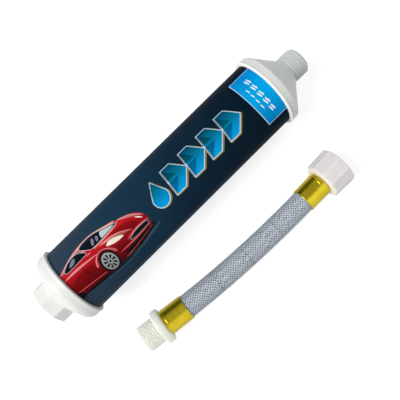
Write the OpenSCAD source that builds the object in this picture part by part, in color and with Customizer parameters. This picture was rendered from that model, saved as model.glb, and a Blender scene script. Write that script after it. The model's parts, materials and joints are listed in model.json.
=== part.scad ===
// Inline water filter for a caravan or motorhome, with its short braided connector hose.
// +X runs along the filter from inlet to outlet, +Z is up, and the origin is the centre
// of the inlet mouth. The hose lies beside the filter on the -Y side.

/* [Filter body] */
// Outside diameter of the bare tube
tube_d = 65.8; // [60:0.2:70]
// Wall of the tube
tube_wall = 2; // [1.5:0.1:2.6]
// Distance from the inlet mouth to the inlet end of the tube
tube_start = 23.5; // [23:0.5:26]
// Length of the tube
tube_len = 256.9; // [200:0.1:300]
// Thickness of the printed label sleeve
label_t = 0.3; // [0.1:0.05:0.5]

/* [End caps] */
// Diameter of the rim of each cap
rim_d = 72.4; // [71:0.2:76]
// How far each cap's skirt overlaps the tube
skirt_len = 8.8; // [6:0.1:12]
// Radial gap between a skirt and the tube
skirt_gap = 0.05; // [0.02:0.01:0.1]
// Width across the corners of the eight-sided inlet boss
boss_ac = 40.2; // [37:0.2:42]
// Turn of the boss about its axis, in degrees
boss_turn = -11; // [-22:1:22]
// Diameter of the water passage in the inlet cap
inlet_passage_d = 17; // [12:0.5:20]
// Diameter of the water passage in the outlet nipple
outlet_passage_d = 18; // [12:0.5:19]
// Distance from the tube's end to the root of the outlet nipple
cone_len = 19.8; // [16:0.1:24]
// Length of the outlet nipple
nipple_len = 18.2; // [18:0.1:22]

/* [Garden hose thread] */
// Distance from one thread crest to the next
pitch = 2.209; // [2.209]
// Crest diameter of a male thread
male_crest_d = 26.98; // [26.98]
// Root diameter of a male thread
male_root_d = 24.12; // [24.12]
// Crest diameter of a female thread
female_crest_d = 24.6; // [24.6]
// Root diameter of a female thread
female_root_d = 27.24; // [27.24]

/* [Filter media] */
// Radial gap between the media and the tube
media_gap = 0.2; // [0.1:0.05:0.5]
// Thickness of the perforated plates
plate_t = 2.5; // [2:0.1:4]
// Thickness of the felt pads
pad_t = 5; // [3:0.5:8]
// Length of the copper and zinc granule bed
granule_len = 20; // [10:1:40]

/* [Hose] */
// Outside diameter of the hose
hose_d = 23; // [22.4:0.2:23]
// Length of hose between the ferrules
free_len = 148; // [120:1:200]
// Bow of the resting hose at each bend point, in degrees
rest_bend = 1.9; // [0:0.01:2]
// Heading of the hose's middle, in degrees from +X
mid_heading = -3; // [-4:0.1:0]
// Middle of the hose, along X
mid_x = 157.6; // [150:0.1:165]
// Middle of the hose, along Y
mid_y = -96.1; // [-120:0.1:-92]
// Open gap between neighbouring hose links
link_gap = 4.4; // [4.2:0.1:5]
// Length of each ferrule
ferrule_len = 24.4; // [22:0.1:28]
// Wall of each ferrule
ferrule_wall = 0.9; // [0.6:0.1:1.2]
// Length of the male threaded end
male_len = 18; // [16:0.1:20]
// Diameter of the collar on the male fitting
collar_d = 34.4; // [30:0.2:36]
// Length of the collar
collar_len = 7.6; // [6:0.1:9]
// Width across the corners of the ten-sided swivel nut
nut_ac = 40; // [37:0.2:42]
// Length of the swivel nut
nut_len = 24.2; // [22:0.1:26]
// Radial running clearance between the nut and its tailpiece
nut_clearance = 0.05; // [0.03:0.01:0.1]

/* [Hidden] */

$fn = 96;
eps = 0.01;

// Filter
tube_end = tube_start + tube_len;
tube_r = tube_d / 2;
bore_r = tube_r - tube_wall;
skirt_r = tube_r + skirt_gap;
rim_r = rim_d / 2;
label_x0 = tube_start + skirt_len;
label_x1 = tube_end - skirt_len;
media_r = bore_r - media_gap;
nipple_x = tube_end + cone_len;
tip_x = nipple_x + nipple_len;

// Inlet cap: a slope of this angle joins the boss to the rim, with rounds at both ends
slope_angle = 66;
slope_x = 12.9;
boss_af_r = boss_ac / 2 * cos(180 / 8);
boss_root_round = 2.5;
shoulder_round = 8;
inlet_thread_x = 0.4;
inlet_turns = 4;
washer_seat_x = 13.4;
strainer_t = 0.5;
washer_t = 3;
washer_bore_r = 8;
// The washers and the strainer drop past the thread, so they are smaller than its root
drop_in_r = female_root_d / 2 - 0.35;
// The seat that the media's plates rest against, and the funnel that leads to it
seat_r = bore_r - 1.4;
funnel_x = 16.4;
funnel_end_x = 19.8;
funnel_step = 3;

// Lip at the rim of each cap
lip_step = 0.35;
lip_w = 2.2;
lip_chamfer = 0.5;

// Outlet cap
cone_round = 3;
outlet_turns = 7;
nipple_plain = 1.4;

// Thread form: the flanks stand 30 degrees from the radius
flank = (male_crest_d - male_root_d) / 2 * tan(30);
crest_w = (pitch - 2 * flank) / 2;
// Length of the cone that leads into a female thread
thread_lead = 0.35;

// Hose
hose_r = hose_d / 2;
layer_gap = 0.05;
liner_in_r = 7;
liner_out_r = 9.6;
braid_out_r = 10.35;
ferrule_r = hose_r + ferrule_wall;
stem_r = liner_in_r - 0.1;
stem_bore_r = 5.5;
neck_r = 9.5;
barb_count = 4;
barb_len = 3.6;
end_gap = 0.4;
hose_inset = 1.5;
link_len = free_len / 4;
half_link = link_len / 2;
nut_flat_r = nut_ac / 2 * cos(180 / 10);
nut_web = 4;
flange_t = 2.5;
nut_thread_x = 11;
nut_turns = 5;
// The nut and the filter's rims rest on the same floor
hose_z = nut_flat_r - rim_r;

function unit(a) = [cos(a), sin(a)];
function heading(link) = mid_heading + (link - 2) * rest_bend;
hinge_2 = [mid_x, mid_y] - half_link * unit(heading(2));
hinge_3 = [mid_x, mid_y] + half_link * unit(heading(2));
hinge_1 = hinge_2 - link_len * unit(heading(1));
hinge_4 = hinge_3 + link_len * unit(heading(3));
// Point that each link's own X starts from: the bend point on its male side,
// and the first bend point for the first link, which runs back from it
link_start = [hinge_1, hinge_1, hinge_2, hinge_3, hinge_4];

// Points of an arc in a profile, each [radius, distance along the axis]
function arc(x, r, round_r, a0, a1, steps = 6) =
    [for (i = [0:steps]) let (a = a0 + (a1 - a0) * i / steps)
        [r + round_r * sin(a), x + round_r * cos(a)]];

// Points of a row of thread crests that rise from root_r to crest_r
function crests(x, turns, root_r, crest_r) =
    [for (i = [0:turns - 1]) let (at = x + i * pitch) each [
        [root_r, at],
        [crest_r, at + flank],
        [crest_r, at + flank + crest_w],
        [root_r, at + 2 * flank + crest_w]]];

// Turns a profile of [radius, distance] points about the X axis
module turned(points) {
    rotate([0, 90, 0])
        rotate_extrude()
            polygon(points);
}

// Disc about the X axis
module disc(x, len, r) {
    translate([x, 0, 0])
        rotate([0, 90, 0])
            cylinder(h = len, r = r);
}

// Tube about the X axis
module pipe(x, len, r_in, r_out) {
    difference() {
        disc(x, len, r_out);
        disc(x - eps, len + 2 * eps, r_in);
    }
}

// Prism about the X axis, measured across its corners
module prism(x, len, corner_r, sides, turn) {
    translate([x, 0, 0])
        rotate([0, 90, 0])
            rotate([0, 0, turn])
                cylinder(h = len, r = corner_r, $fn = sides);
}

// Plate about the X axis with rings of round holes
module perforated_plate(x, thickness, r, hole_d) {
    rings = 3;
    difference() {
        disc(x, thickness, r);
        disc(x - 1, thickness + 2, hole_d / 2);
        for (ring = [1:rings], i = [0:6 * ring - 1])
            rotate([i * 60 / ring, 0, 0])
                translate([0, ring * (r - hole_d) / rings, 0])
                    disc(x - 1, thickness + 2, hole_d / 2);
    }
}

module housing_tube() {
    color([0.93, 0.93, 0.91])
        pipe(tube_start, tube_len, bore_r, tube_r);
}

module label_wrap() {
    color([0.06, 0.12, 0.2])
        pipe(label_x0 + eps, label_x1 - label_x0 - 2 * eps, tube_r + eps, tube_r + label_t);
}

module inlet_cap() {
    band_r = rim_r - lip_step;
    rim_x = slope_x + (band_r - boss_af_r) / tan(slope_angle);
    root_t = boss_root_round * tan(slope_angle / 2);
    rim_t = shoulder_round * tan(slope_angle / 2);
    lip_x = label_x0 - lip_w;
    boss_r = boss_ac / 2;
    boss_end_x = slope_x + 4;
    shoulder = concat(
        [[0, 1], [boss_af_r, 1]],
        arc(slope_x - root_t, boss_af_r + boss_root_round, boss_root_round, 270, 270 + slope_angle),
        arc(rim_x + rim_t, band_r - shoulder_round, shoulder_round, 90 + slope_angle, 90),
        [[band_r, lip_x], [rim_r, lip_x + lip_chamfer], [rim_r, label_x0 - lip_chamfer]],
        [[rim_r - lip_chamfer, label_x0], [0, label_x0]]);
    root_r = female_root_d / 2;
    crest_r = female_crest_d / 2;
    first_turn = inlet_thread_x + crest_w;
    seat_x = washer_seat_x + strainer_t;
    passage = concat(
        [[0, -1], [root_r + 1, -1], [root_r, inlet_thread_x - thread_lead], [crest_r, inlet_thread_x]],
        crests(first_turn, inlet_turns, crest_r, root_r),
        [[crest_r, first_turn + inlet_turns * pitch], [root_r, first_turn + inlet_turns * pitch + thread_lead]],
        [[root_r, seat_x], [inlet_passage_d / 2, seat_x], [inlet_passage_d / 2, funnel_x]],
        [[seat_r - funnel_step, funnel_end_x], [seat_r, tube_start], [skirt_r, tube_start]],
        [[skirt_r, label_x0 + 1], [0, label_x0 + 1]]);
    color([0.95, 0.95, 0.93])
        difference() {
            union() {
                turned(shoulder);
                intersection() {
                    prism(0, boss_end_x, boss_r, 8, boss_turn);
                    turned([[0, 0], [boss_r - 1.9, 0], [boss_r - 0.5, 0.6], [boss_r, 2],
                            [boss_r, boss_end_x], [0, boss_end_x]]);
                }
            }
            turned(passage);
        }
}

module outlet_cap() {
    root_r = male_root_d / 2;
    crest_r = male_crest_d / 2;
    band_r = rim_r - lip_step;
    cone_angle = 48;
    cone_x = nipple_x - (band_r - crest_r) / tan(cone_angle);
    thread_x = nipple_x + nipple_plain;
    shell = concat(
        [[0, label_x1], [rim_r - lip_chamfer, label_x1], [rim_r, label_x1 + lip_chamfer]],
        [[rim_r, label_x1 + lip_w - lip_chamfer], [band_r, label_x1 + lip_w]],
        arc(cone_x - cone_round * tan(cone_angle / 2), band_r - cone_round, cone_round, 90, 90 - cone_angle, 4),
        [[crest_r, nipple_x], [crest_r, thread_x - flank], [root_r, thread_x]],
        crests(thread_x, outlet_turns, root_r, crest_r),
        [[root_r, tip_x - 1.1], [root_r - 0.4, tip_x - 0.3], [root_r - 1.2, tip_x], [0, tip_x]]);
    bore = outlet_passage_d / 2;
    passage = [[0, label_x1 - 1], [skirt_r, label_x1 - 1], [skirt_r, tube_end], [seat_r, tube_end],
               [seat_r - 2, tube_end + 4.6], [bore, nipple_x - 2.2], [bore, tip_x - 1],
               [bore + 1, tip_x + eps], [0, tip_x + eps]];
    color([0.78, 0.79, 0.78])
        difference() {
            turned(shell);
            turned(passage);
        }
}

module inlet_washer() {
    color([0.12, 0.12, 0.13])
        pipe(washer_seat_x - washer_t, washer_t - eps, washer_bore_r, drop_in_r);
}

module inlet_strainer() {
    r = drop_in_r;
    wire = 0.5;
    step = 3;
    rim_in_r = 9;
    bars = floor(r / step);
    color([0.75, 0.76, 0.78]) {
        pipe(washer_seat_x, strainer_t - eps, rim_in_r, r);
        intersection() {
            disc(washer_seat_x, strainer_t - eps, rim_in_r + wire);
            union()
                for (i = [-bars:bars]) {
                    translate([washer_seat_x, i * step - wire / 2, -r])
                        cube([strainer_t - eps, wire, 2 * r]);
                    translate([washer_seat_x, -r, i * step - wire / 2])
                        cube([strainer_t - eps, 2 * r, wire]);
                }
        }
    }
}

// Media from the inlet to the outlet
diffuser_x = tube_start;
inlet_pad_x = diffuser_x + plate_t;
granule_x = inlet_pad_x + pad_t;
middle_pad_x = granule_x + granule_len;
carbon_x = middle_pad_x + pad_t;
grid_x = tube_end - plate_t;
outlet_pad_x = grid_x - pad_t;

module inlet_diffuser() {
    color([0.9, 0.9, 0.88])
        perforated_plate(diffuser_x + eps, plate_t - 2 * eps, media_r, 4);
}

module felt_pad(x) {
    color([0.96, 0.96, 0.94])
        disc(x + eps, pad_t - 2 * eps, media_r);
}

module inlet_pad() {
    felt_pad(inlet_pad_x);
}

module granule_bed() {
    color([0.72, 0.5, 0.22])
        disc(granule_x + eps, granule_len - 2 * eps, media_r);
}

module middle_pad() {
    felt_pad(middle_pad_x);
}

module carbon_bed() {
    color([0.08, 0.08, 0.08])
        disc(carbon_x + eps, outlet_pad_x - carbon_x - 2 * eps, media_r);
}

module outlet_pad() {
    felt_pad(outlet_pad_x);
}

module outlet_grid() {
    color([0.9, 0.9, 0.88])
        perforated_plate(grid_x + eps, plate_t - 2 * eps, media_r, 3);
}

// Puts its children on a hose link, with X along the link from its bend point
module on_link(link) {
    translate([link_start[link][0], link_start[link][1], hose_z])
        rotate([0, 0, heading(link)])
            children();
}

// Places at an end of the hose, measured outward from the face of that end's ferrule,
// with X pointing away from the hose
module at_male_end() {
    on_link(0)
        translate([-half_link - ferrule_len, 0, 0])
            mirror([1, 0, 0])
                children();
}

module at_nut_end() {
    on_link(4)
        translate([half_link + ferrule_len, 0, 0])
            children();
}

// Barbed stem that grips the inside of the hose, from the ferrule's face inward
module stem() {
    root = stem_r - 0.5;
    depth = ferrule_len - 3;
    outline = concat(
        [[0, -depth], [root, -depth]],
        [for (i = [0:barb_count - 1]) let (x = -depth + 1 + i * barb_len) each [
            [root, x], [stem_r, x + barb_len - 1], [root, x + barb_len - 1 + eps]]],
        [[root, -hose_inset + eps], [neck_r, -hose_inset + eps], [neck_r, end_gap], [0, end_gap]]);
    turned(outline);
}

// Thin cup crimped over the end of the hose, with a rolled bead near its closed end
module ferrule() {
    bead_r = ferrule_r + 0.35;
    outer = concat(
        [[0, -ferrule_len], [ferrule_r - 0.3, -ferrule_len], [ferrule_r, -ferrule_len + 0.5]],
        [[ferrule_r, -4.6], [bead_r, -4.0], [bead_r, -2.8], [ferrule_r, -2.2]],
        [[ferrule_r, -0.8], [ferrule_r - 0.8, 0], [0, 0]]);
    color([0.78, 0.68, 0.12])
        difference() {
            turned(outer);
            disc(-ferrule_len - 1, ferrule_len + 1 - hose_inset + 0.5, hose_r + layer_gap);
            disc(-ferrule_len - 1, ferrule_len + 2, neck_r + layer_gap);
        }
}

module male_fitting() {
    root_r = male_root_d / 2;
    crest_r = male_crest_d / 2;
    relief_r = 12.85;
    edge = 1.6;
    collar_x = end_gap - 0.2;
    thread_x = collar_x + collar_len;
    end_x = thread_x + male_len;
    first_crest = end_x - 1.2 - outlet_turns * pitch;
    shell = concat(
        [[0, collar_x]],
        arc(collar_x + edge, collar_d / 2 - edge, edge, 180, 90, 4),
        arc(collar_x + collar_len - edge, collar_d / 2 - edge, edge, 90, 0, 4),
        [[relief_r, thread_x], [relief_r, first_crest - 0.6], [root_r, first_crest]],
        crests(first_crest, outlet_turns, root_r, crest_r),
        [[root_r, end_x - 0.9], [root_r - 0.3, end_x - 0.2], [root_r - 0.9, end_x], [0, end_x]]);
    color([0.93, 0.93, 0.88])
        at_male_end()
            difference() {
                union() {
                    turned(shell);
                    stem();
                }
                disc(-ferrule_len, ferrule_len + end_x + 1, stem_bore_r);
                turned([[0, collar_x + 4], [stem_bore_r - eps, collar_x + 4], [8.5, collar_x + 7],
                        [8.5, end_x + 1], [0, end_x + 1]]);
            }
}

module male_ferrule() {
    at_male_end()
        ferrule();
}

module nut_ferrule() {
    at_nut_end()
        ferrule();
}

module nut_tailpiece() {
    flange_x = end_gap + nut_web + 0.1;
    color([0.93, 0.93, 0.9])
        at_nut_end()
            difference() {
                union() {
                    stem();
                    disc(end_gap - eps, nut_web + 0.1 + 2 * eps, neck_r);
                    disc(flange_x, flange_t, 12.9);
                }
                disc(-ferrule_len, ferrule_len + flange_x + flange_t + 1, stem_bore_r);
            }
}

module swivel_nut() {
    root_r = female_root_d / 2;
    crest_r = female_crest_d / 2;
    corner_r = nut_ac / 2;
    hollow = concat(
        [[0, -1], [neck_r + nut_clearance, -1], [neck_r + nut_clearance, nut_web], [root_r, nut_web]],
        [[root_r, nut_thread_x - 0.4], [crest_r, nut_thread_x - 0.2]],
        crests(nut_thread_x, nut_turns, crest_r, root_r),
        [[crest_r, nut_len - 1.8], [root_r + 0.3, nut_len + eps], [0, nut_len + eps]]);
    color([0.9, 0.9, 0.9])
        at_nut_end()
            translate([end_gap, 0, 0])
                difference() {
                    intersection() {
                        prism(0, nut_len, corner_r, 10, 18);
                        turned([[0, 0], [corner_r - 2.4, 0], [corner_r, 1.6], [corner_r, nut_len - 0.9],
                                [corner_r - 1.1, nut_len], [0, nut_len]]);
                    }
                    turned(hollow);
                }
}

module nut_washer() {
    color([0.12, 0.12, 0.13])
        at_nut_end()
            pipe(end_gap + nut_web + 0.2 + flange_t, washer_t, washer_bore_r, drop_in_r);
}

// One layer of the hose on one link. The end links run on inside their ferrules.
module hose_layer(link, r_in, r_out) {
    inside = ferrule_len - hose_inset;
    x0 = link == 0 ? -half_link - inside : link_gap / 2;
    x1 = link == 0 ? -link_gap / 2 : link == 4 ? half_link + inside : link_len - link_gap / 2;
    on_link(link)
        pipe(x0, x1 - x0, r_in, r_out);
}

module hose_liner(link) {
    color([0.8, 0.84, 0.88])
        hose_layer(link, liner_in_r, liner_out_r);
}

module hose_braid(link) {
    color([0.92, 0.93, 0.95])
        hose_layer(link, liner_out_r + layer_gap, braid_out_r);
}

module hose_jacket(link) {
    color([0.6, 0.66, 0.72])
        hose_layer(link, braid_out_r + layer_gap, hose_r);
}

housing_tube();
label_wrap();
inlet_cap();
outlet_cap();
inlet_washer();
inlet_strainer();
inlet_diffuser();
inlet_pad();
granule_bed();
middle_pad();
carbon_bed();
outlet_pad();
outlet_grid();
male_fitting();
male_ferrule();
hose_liner(0);  // hose_liner_1
hose_liner(1);  // hose_liner_2
hose_liner(2);  // hose_liner_3
hose_liner(3);  // hose_liner_4
hose_liner(4);  // hose_liner_5
hose_braid(0);  // hose_braid_1
hose_braid(1);  // hose_braid_2
hose_braid(2);  // hose_braid_3
hose_braid(3);  // hose_braid_4
hose_braid(4);  // hose_braid_5
hose_jacket(0);  // hose_jacket_1
hose_jacket(1);  // hose_jacket_2
hose_jacket(2);  // hose_jacket_3
hose_jacket(3);  // hose_jacket_4
hose_jacket(4);  // hose_jacket_5
nut_ferrule();
nut_tailpiece();
swivel_nut();
nut_washer();
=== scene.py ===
"""Looks of the inline water filter and its braided connector hose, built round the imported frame."""
import json
import math

import bmesh
import bpy
from mathutils import Matrix, Vector


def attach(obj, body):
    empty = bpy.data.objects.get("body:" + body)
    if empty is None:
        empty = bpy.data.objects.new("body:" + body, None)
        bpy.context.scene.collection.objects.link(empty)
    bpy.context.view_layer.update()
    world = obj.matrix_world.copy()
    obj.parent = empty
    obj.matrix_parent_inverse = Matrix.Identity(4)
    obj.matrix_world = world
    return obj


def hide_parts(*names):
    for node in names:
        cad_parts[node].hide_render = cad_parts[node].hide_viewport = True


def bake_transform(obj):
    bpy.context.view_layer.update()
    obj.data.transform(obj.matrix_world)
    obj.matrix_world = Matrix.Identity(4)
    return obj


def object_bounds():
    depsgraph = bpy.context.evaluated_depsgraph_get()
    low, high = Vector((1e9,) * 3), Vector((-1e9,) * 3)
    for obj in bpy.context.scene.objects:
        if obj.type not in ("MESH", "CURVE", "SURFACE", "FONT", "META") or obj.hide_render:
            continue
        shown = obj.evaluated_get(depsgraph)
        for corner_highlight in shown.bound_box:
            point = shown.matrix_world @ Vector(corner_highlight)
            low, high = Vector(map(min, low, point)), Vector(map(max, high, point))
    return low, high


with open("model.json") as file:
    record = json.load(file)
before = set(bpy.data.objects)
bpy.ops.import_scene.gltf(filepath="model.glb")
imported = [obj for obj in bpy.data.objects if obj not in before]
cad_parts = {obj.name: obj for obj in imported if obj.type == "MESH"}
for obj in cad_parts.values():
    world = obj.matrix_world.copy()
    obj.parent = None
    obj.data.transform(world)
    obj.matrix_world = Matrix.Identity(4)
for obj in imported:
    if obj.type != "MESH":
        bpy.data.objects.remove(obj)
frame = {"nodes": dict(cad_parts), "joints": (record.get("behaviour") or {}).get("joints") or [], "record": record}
cad_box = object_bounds()

MM = 0.001
TAU = 2 * math.pi
SEGMENTS = 128

# Filter, in millimetres along X from the inlet mouth
TUBE_R = 32.9
TUBE_X0, TUBE_X1 = 23.5, 280.4
LABEL_R = 33.2
LABEL_X0, LABEL_X1 = 32.3, 271.6
RIM_R, BAND_R = 36.2, 35.85
SKIRT_R = TUBE_R + 0.05
LIP_W = 2.2
BOSS_SIDES, BOSS_ROUND, BOSS_EDGE = 8, 0.9, 1.1
BOSS_FLAT_R = 20.1 * math.cos(math.pi / BOSS_SIDES)
BOSS_CORNER = math.radians(-11)
NIPPLE_X, TIP_X = 300.2, 318.4
SLOPE_X, SLOPE, SHOULDER_ROUND, FOOT_BLEND = 12.9, math.radians(66), 8.0, 1.8
INLET_BORE_R, WASHER_SEAT_X = 8.5, 13.9
CONE_SLOPE, CONE_ROUND = 48, 3
OUTLET_BORE_R = 9.0
CAVITY_R = 29.5
LAP_HALF, LAP_THICKNESS = 4.0, 0.09

# Garden hose thread
PITCH = 2.209
MALE_CREST, MALE_ROOT = 13.49, 12.06
FEMALE_CREST, FEMALE_ROOT = 12.3, 13.62
CREST_SHARE = 0.126

# Hose
HOSE_R = 11.5
FERRULE_R, FERRULE_LEN = 12.4, 24.4
END_GAP = 0.4
HOSE_INSET = 1.5
NECK_R = 9.5
LINER_IN_R, LINER_OUT_R, JACKET_IN_R = 7.0, 10.3, 11.15
BEAD_X, BEAD_HALF, BEAD_RISE = -3.4, 1.1, 0.36
STEM_R, STEM_BORE_R, BARB_DEPTH, BARB_PITCH = 6.9, 5.5, 0.5, 3.6
NUT_SIDES, NUT_ROUND, NUT_BACK, NUT_FRONT = 10, 0.8, 2.4, 0.9
NUT_FLAT_R = 20 * math.cos(math.pi / NUT_SIDES)
NUT_LEN, NUT_DRAFT = 24.2, 0.6
COLLAR_R, COLLAR_LEN, COLLAR_ROUND = 17.2, 7.6, 1.5
MALE_LEN, MALE_BORE_R, RELIEF_R = 18.0, 8.5, 12.85


# ---------------------------------------------------------------- materials
def srgb(r, g, b):
    """Linear colour from 0-255 values."""
    def lin(v):
        v /= 255
        return v / 12.92 if v <= 0.04045 else ((v + 0.055) / 1.055) ** 2.4
    return (lin(r), lin(g), lin(b), 1)


class Look:
    """A node material that starts from one Principled shader."""

    def __init__(self, name, color=(0.8, 0.8, 0.8, 1), rough=0.5, **values):
        self.mat = bpy.data.materials.new(name)
        self.mat.use_nodes = True
        self.mat.diffuse_color = color
        self.tree = self.mat.node_tree
        self.shader = self.tree.nodes["Principled BSDF"]
        self.shader.inputs["Base Color"].default_value = color
        self.shader.inputs["Roughness"].default_value = rough
        for key, value in values.items():
            self.shader.inputs[key.replace("_", " ")].default_value = value
        self.at = self.add("ShaderNodeTexCoord").outputs["Object"]

    def add(self, kind, inputs=None, **props):
        node = self.tree.nodes.new(kind)
        for key, value in props.items():
            setattr(node, key, value)
        for key, value in (inputs or {}).items():
            socket = node.inputs[key]
            if isinstance(value, bpy.types.NodeSocket):
                self.tree.links.new(value, socket)
            else:
                socket.default_value = value
        return node

    def feed(self, name, socket):
        self.tree.links.new(socket, self.shader.inputs[name])

    def noise(self, scale, detail=3, at=None, rough=0.5):
        return self.add("ShaderNodeTexNoise", {
            "Vector": at or self.at, "Scale": scale, "Detail": detail, "Roughness": rough}).outputs["Fac"]

    def voronoi(self, scale, out="Distance", at=None, **props):
        inputs = {"Vector": at or self.at, "Scale": scale}
        return self.add("ShaderNodeTexVoronoi", inputs, **props).outputs[out]

    def math(self, op, a, b=0.0, c=0.0):
        return self.add("ShaderNodeMath", {0: a, 1: b, 2: c}, operation=op).outputs[0]

    def map(self, value, a, b, lo=0.0, hi=1.0, smooth=False):
        kind = "SMOOTHSTEP" if smooth else "LINEAR"
        return self.add("ShaderNodeMapRange", {
            "Value": value, "From Min": a, "From Max": b, "To Min": lo, "To Max": hi},
            interpolation_type=kind).outputs["Result"]

    def mix(self, fac, a, b):
        return self.add("ShaderNodeMix", {0: fac, 6: a, 7: b}, data_type="RGBA").outputs[2]

    def ramp(self, fac, stops):
        node = self.add("ShaderNodeValToRGB", {"Fac": fac})
        points = node.color_ramp.elements
        while len(points) < len(stops):
            points.new(0.5)
        for point, (at, color) in zip(points, stops):
            point.position, point.color = at, color
        return node.outputs["Color"]

    def axis(self, index, at=None):
        return self.add("ShaderNodeSeparateXYZ", {0: at or self.at}).outputs[index]

    def stretched(self, x, y, z):
        return self.add("ShaderNodeMapping", {"Vector": self.at, "Scale": (x, y, z)}).outputs[0]

    def bump(self, height, strength, distance=0.0002):
        node = self.add("ShaderNodeBump", {"Height": height, "Strength": strength, "Distance": distance})
        self.feed("Normal", node.outputs["Normal"])

    def vary(self, name, noise, lo, hi):
        self.feed(name, self.map(noise, 0.3, 0.7, lo, hi))


def moulded(name, color, tint, rough=0.38, painted_light_zones=(), **values):
    """Moulded plastic: faint flow variation, fine surface texture and soft gloss.

    Each painted light zone is (x0, x1, colour): the tone eases to that painted shade or highlight colour from x0
    to x1 along the filter, in mm."""
    look = Look(name, color, rough, **values)
    flow = look.noise(28, 4)
    base = look.mix(look.map(flow, 0.35, 0.7), color, tint)
    # Painted light zones: colour eased in along X as painted shade or painted highlight.
    for x0, x1, painted_tone in painted_light_zones:
        base = look.mix(look.map(look.axis(0), x0 * MM, x1 * MM, smooth=True), base, painted_tone)
    look.feed("Base Color", base)
    grain = look.noise(2600, 2)
    look.vary("Roughness", grain, rough - 0.05, rough + 0.08)
    look.bump(look.math("ADD", grain, look.math("MULTIPLY", flow, 3.0)), 0.12, 0.00006)
    return look.mat


def brushed_gold(name):
    # The faint yellow emission makes the sleeve glow a little: painted light, as the sleeve is no lamp.
    look = Look(name, srgb(206, 182, 40), 0.26, Metallic=1.0,
                Emission_Color=srgb(196, 178, 20), Emission_Strength=0.1)
    rings = look.noise(900, 3, look.stretched(1, 0.06, 0.06))
    stain = look.noise(60, 4)
    look.feed("Base Color", look.mix(look.map(stain, 0.4, 0.75), srgb(206, 184, 46), srgb(184, 162, 34)))
    look.vary("Roughness", rings, 0.22, 0.29)
    look.bump(rings, 0.04, 0.00004)
    return look.mat


def ridged_nylon(name, origin, heading):
    """Satin nylon with painted highlights along its corners and a painted cream reflection of the gold sleeve at
    the rear, for the ten-sided nut.
    """
    look = Look(name, srgb(226, 224, 222), 0.36)
    out = look.add("ShaderNodeVectorMath", {0: look.at, 1: origin}, operation="SUBTRACT").outputs[0]

    def along(direction):
        dot = look.add("ShaderNodeVectorMath", {0: out, 1: direction}, operation="DOT_PRODUCT")
        return dot.outputs["Value"]
    turn = look.math("ARCTAN2", along(Vector((0, 0, 1))), along(Vector((0, 0, 1)).cross(heading)))
    share = look.math("FRACT", look.math("MULTIPLY_ADD", turn, NUT_SIDES / TAU, 0.5))
    # Painted highlight: pale lines along the ten corners, where the rounded edges catch the light.
    corner_highlight = look.map(look.math("ABSOLUTE", look.math("SUBTRACT", share, 0.5)), 0.0, 0.05, 1, 0, smooth=True)
    flow = look.noise(28, 4)
    base = look.mix(look.map(flow, 0.35, 0.7), srgb(230, 226, 225), srgb(222, 218, 217))
    base = look.mix(corner_highlight, base, srgb(248, 247, 245))
    # Painted reflection: a cream band on the rear of the nut, next to the gold sleeve.
    rear_reflection = look.map(along(heading), 0.0011, 0.0018, 1, 0, smooth=True)
    look.feed("Base Color", look.mix(rear_reflection, base, srgb(246, 241, 228)))
    grain = look.noise(2600, 2)
    look.vary("Roughness", grain, 0.31, 0.44)
    look.bump(look.math("ADD", grain, look.math("MULTIPLY", flow, 3.0)), 0.12, 0.00006)
    return look.mat


def label_film(name):
    look = Look(name, srgb(20, 35, 60), 0.42, Specular_IOR_Level=0.015)
    along = look.map(look.axis(0), LABEL_X0 * MM, LABEL_X1 * MM)
    base = look.ramp(along, [
        (0.0, srgb(50, 67, 83)), (0.25, srgb(27, 53, 74)), (0.5, srgb(18, 42, 61)),
        (0.75, srgb(12, 31, 46)), (1.0, srgb(6, 21, 34))])
    haze = look.noise(24, 5)
    look.feed("Base Color", look.mix(look.map(haze, 0.45, 0.8, 0, 0.25), base, srgb(28, 66, 84)))
    look.vary("Roughness", look.noise(160, 2), 0.38, 0.46)
    look.bump(look.noise(90, 2), 0.05, 0.0001)
    return look.mat


def printed(name, stops, axis=1, span=(-0.012, 0.012), rough=0.3, speck=0.06):
    """Printed ink whose colour runs along one axis, with a fine dot texture."""
    look = Look(name, stops[0][1], rough, Specular_IOR_Level=0.04)
    along = look.map(look.axis(axis), *span)
    base = look.ramp(along, stops)
    dots = look.map(look.voronoi(2200), 0.0, 0.7, speck, 0)
    look.feed("Base Color", look.mix(dots, base, (0.01, 0.02, 0.04, 1)))
    look.vary("Roughness", look.noise(600, 2), rough - 0.05, rough + 0.06)
    return look.mat


def panel_ink(name):
    look = Look(name, srgb(0, 140, 225), 0.3, Specular_IOR_Level=0.03)
    side = look.math("ABSOLUTE", look.axis(1))
    base = look.ramp(look.map(side, 0, 0.026), [
        (0.0, srgb(0, 164, 228)), (0.45, srgb(0, 150, 216)), (1.0, srgb(0, 122, 196))])
    cloud = look.noise(70, 3)
    look.feed("Base Color", look.mix(look.map(cloud, 0.45, 0.8, 0, 0.5), base, srgb(0, 168, 228)))
    look.vary("Roughness", look.noise(600, 2), 0.26, 0.36)
    return look.mat


def yarn(name, light, dark):
    look = Look(name, light, 0.55, Sheen_Weight=0.2)
    fibres = look.noise(2400, 3)
    tone = look.noise(160, 3)
    look.feed("Base Color", look.mix(look.map(tone, 0.35, 0.7), light, dark))
    look.vary("Roughness", fibres, 0.45, 0.65)
    look.bump(fibres, 0.3, 0.00008)
    return look.mat


def hose_core(name):
    look = Look(name, srgb(92, 99, 108), 0.5)
    look.feed("Base Color", look.mix(look.noise(120, 3), srgb(82, 88, 97), srgb(108, 114, 123)))
    look.bump(look.noise(700, 2), 0.1, 0.0001)
    return look.mat


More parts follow.
